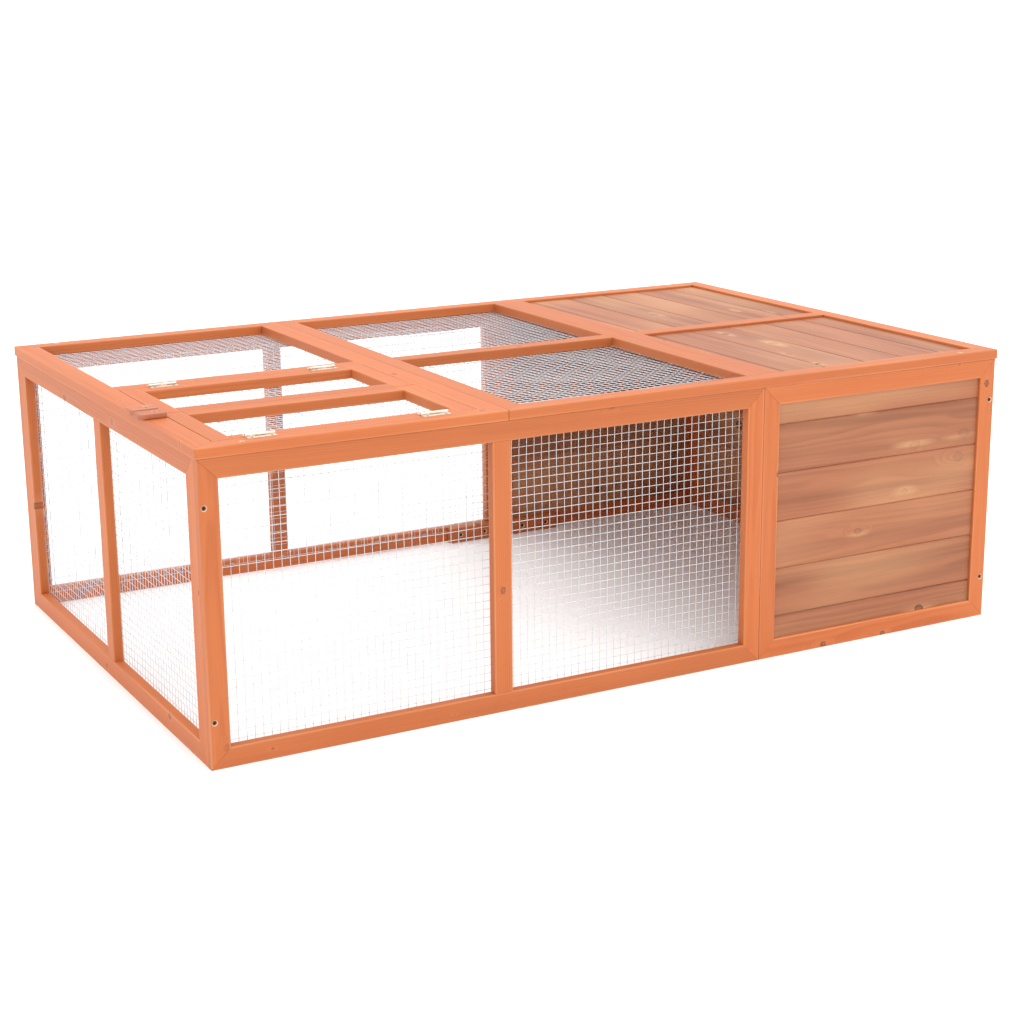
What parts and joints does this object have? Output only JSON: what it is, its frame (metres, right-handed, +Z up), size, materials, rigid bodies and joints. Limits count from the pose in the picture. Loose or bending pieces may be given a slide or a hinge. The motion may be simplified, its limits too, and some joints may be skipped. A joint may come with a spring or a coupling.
{
  "type": "rabbit hutch",
  "caption": "Low wooden rabbit hutch: wire-mesh run with a boarded shelter at one end under a flat roof, with two lift-up mesh leaves held by turn buttons and an open base.",
  "frame": {"origin": "on the ground at the centre of the roof's outline", "axes": "+X along the front from the mesh end to the boarded end, +Y from front to back, +Z up"},
  "size_m": [1.418, 0.9, 0.4734],
  "materials": {
    "frame_wood": "satin",
    "board_wood": "satin",
    "wire_mesh": "galvanised",
    "hinge_steel": "zinc plated",
    "screw_steel": "zinc plated"
  },
  "bodies": {
    "hutch": {"back_corner_screws": "screw_steel", "back_house_boards": "board_wood", "back_house_bottom_rail": "frame_wood", "back_house_stiles": "frame_wood", "back_house_top_rail": "frame_wood", "back_run_bottom_rail": "frame_wood", "back_run_mesh": "wire_mesh", "back_run_stiles": "frame_wood", "back_run_top_rail": "frame_wood", "back_splice_batten": "frame_wood", "button_screws": "screw_steel", "door_bay_back_rail": "frame_wood", "door_bay_front_rail": "frame_wood", "door_bay_mesh": "wire_mesh", "door_bay_side_rails": "frame_wood", "fixed_hinge_screws": "screw_steel", "front_corner_screws": "screw_steel", "front_hinge_fixed_plates": "hinge_steel", "front_house_boards": "board_wood", "front_house_bottom_rail": "frame_wood", "front_house_stiles": "frame_wood", "front_house_top_rail": "frame_wood", "front_run_bottom_rail": "frame_wood", "front_run_mesh": "wire_mesh", "front_run_stiles": "frame_wood", "front_run_top_rail": "frame_wood", "hinge_pins": "hinge_steel", "hinge_rail": "frame_wood", "leaf_stops": "frame_wood", "left_end_bottom_rail": "frame_wood", "left_end_mesh": "wire_mesh", "left_end_stiles": "frame_wood", "left_end_top_rail": "frame_wood", "rear_hinge_fixed_plates": "hinge_steel", "right_end_boards": "board_wood", "right_end_bottom_rail": "frame_wood", "right_end_stiles": "frame_wood", "right_end_top_rail": "frame_wood", "roof_boards": "board_wood", "roof_panel_back_rail": "frame_wood", "roof_panel_front_rail": "frame_wood", "roof_panel_mesh": "wire_mesh", "roof_panel_mid_rails": "frame_wood", "roof_panel_side_rails": "frame_wood", "roof_panel_wide_rail": "frame_wood", "roof_screws": "screw_steel", "splice_screws": "screw_steel"},
    "front_leaf": {"front_leaf_rails": "frame_wood", "front_leaf_stiles": "frame_wood", "front_leaf_mesh": "wire_mesh", "front_hinge_leaf_plates": "hinge_steel", "front_leaf_hinge_screws": "screw_steel"},
    "rear_leaf": {"rear_leaf_rails": "frame_wood", "rear_leaf_stiles": "frame_wood", "rear_leaf_mesh": "wire_mesh", "rear_hinge_leaf_plates": "hinge_steel", "rear_leaf_hinge_screws": "screw_steel"},
    "front_button": {"front_turn_button": "frame_wood"},
    "rear_button": {"rear_turn_button": "frame_wood"}
  },
  "joints": [
    {"name": "front_leaf_hinge", "type": "hinge", "parent": "hutch", "child": "front_leaf", "pos_m": [-0.465, -0.4195, 0.4675], "axis": [1, 0, 0], "range_deg": [0, 180]},
    {"name": "rear_leaf_hinge", "type": "hinge", "parent": "hutch", "child": "rear_leaf", "pos_m": [-0.465, -0.0155, 0.4675], "axis": [-1, 0, 0], "range_deg": [0, 180]},
    {"name": "front_button_turn", "type": "hinge", "parent": "hutch", "child": "front_button", "pos_m": [-0.685, -0.23, 0.4694], "axis": [0, 0, 1], "range_deg": [0, 180]},
    {"name": "rear_button_turn", "type": "hinge", "parent": "hutch", "child": "rear_button", "pos_m": [-0.685, -0.192, 0.4694], "axis": [0, 0, -1], "range_deg": [0, 180]}
  ]
}
